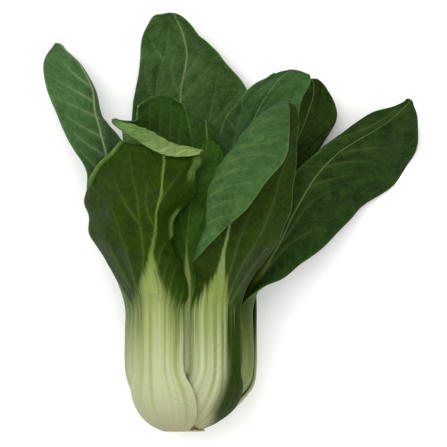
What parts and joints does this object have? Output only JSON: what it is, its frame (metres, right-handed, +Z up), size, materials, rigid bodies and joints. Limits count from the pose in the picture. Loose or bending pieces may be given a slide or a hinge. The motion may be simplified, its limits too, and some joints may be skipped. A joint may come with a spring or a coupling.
{
  "type": "bok choy",
  "caption": "Head of bok choy lying on its back, with a bulb of pale ribbed stalks and broad green leaves that fan out, curl and fold.",
  "frame": {"origin": "middle of the flat spot under the bulb that the head rests on", "axes": "+Y from the cut base to the leaf tips, +Z up from the table, +X to the right of the head seen from above"},
  "size_m": [0.1793, 0.1995, 0.077],
  "materials": {
    "stalk": "pale green, faintly waxy",
    "blade": "deep green, softly glossy leaf",
    "stem": "pale cut stem"
  },
  "bodies": {
    "root": {"front_left_leaf_stalk": "stalk", "front_left_leaf_blade": "blade", "back_leaf_stalk": "stalk", "back_leaf_blade": "blade", "front_right_leaf_stalk": "stalk", "front_right_leaf_blade": "blade", "back_right_leaf_stalk": "stalk", "back_right_leaf_blade": "blade", "left_leaf_stalk": "stalk", "left_leaf_blade": "blade", "right_leaf_stalk": "stalk", "right_leaf_blade": "blade", "hooded_leaf_stalk": "stalk", "hooded_leaf_blade": "blade", "tall_inner_leaf_stalk": "stalk", "tall_inner_leaf_blade": "blade", "front_inner_leaf_stalk": "stalk", "front_inner_leaf_blade": "blade", "right_heart_leaf_stalk": "stalk", "right_heart_leaf_blade": "blade", "left_heart_leaf_stalk": "stalk", "left_heart_leaf_blade": "blade", "core_stem": "stem"}
  },
  "joints": []
}
